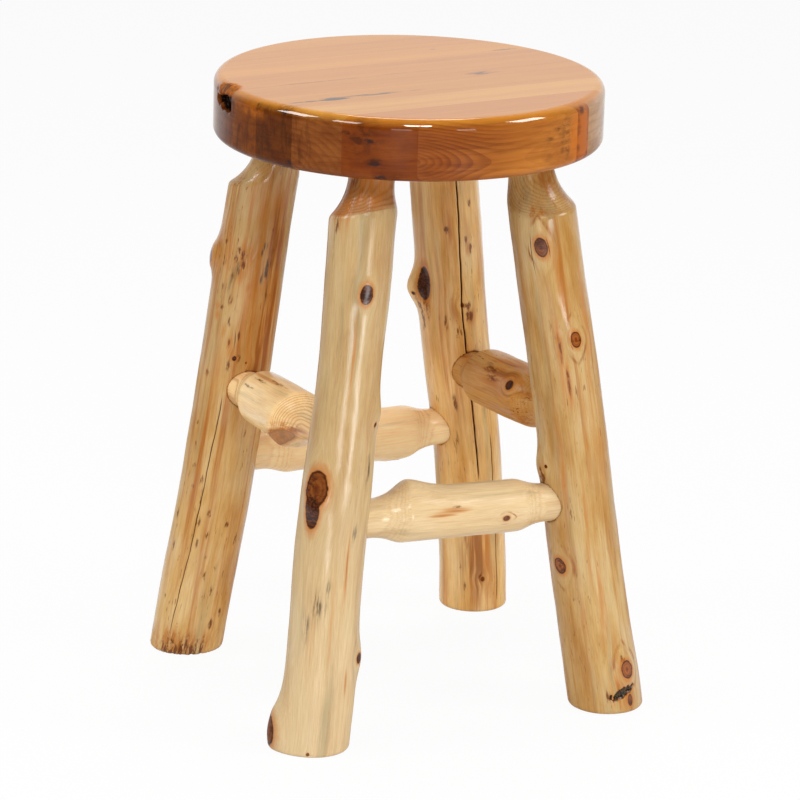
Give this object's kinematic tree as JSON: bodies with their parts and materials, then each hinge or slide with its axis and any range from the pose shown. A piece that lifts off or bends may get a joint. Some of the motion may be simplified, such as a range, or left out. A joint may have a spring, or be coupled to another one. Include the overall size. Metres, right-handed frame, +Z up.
{
  "type": "round log stool",
  "caption": "Counter-height rustic stool with a thick round edge-glued seat on splayed peeled-log legs, tied by log stretchers with round mortise-and-tenon joints.",
  "frame": {"origin": "on the floor under the middle of the stool", "axes": "+Z up, -Y towards the front stretcher, +X to the right seen from the front"},
  "size_m": [0.4135, 0.3902, 0.616],
  "materials": {
    "seat_wood": "planed, high-gloss clear coat",
    "leg_log": "hand-peeled log, semi-gloss clear coat",
    "stretcher_log": "hand-peeled log, semi-gloss clear coat"
  },
  "bodies": {
    "root": {"seat_stave_1": "seat_wood", "seat_stave_2": "seat_wood", "seat_stave_3": "seat_wood", "seat_stave_4": "seat_wood", "seat_stave_5": "seat_wood", "seat_stave_6": "seat_wood", "seat_stave_7": "seat_wood", "seat_stave_8": "seat_wood", "seat_stave_9": "seat_wood", "front_left_leg": "leg_log", "front_right_leg": "leg_log", "back_left_leg": "leg_log", "back_right_leg": "leg_log", "front_stretcher": "stretcher_log", "back_stretcher": "stretcher_log", "left_stretcher": "stretcher_log", "right_stretcher": "stretcher_log"}
  },
  "joints": []
}
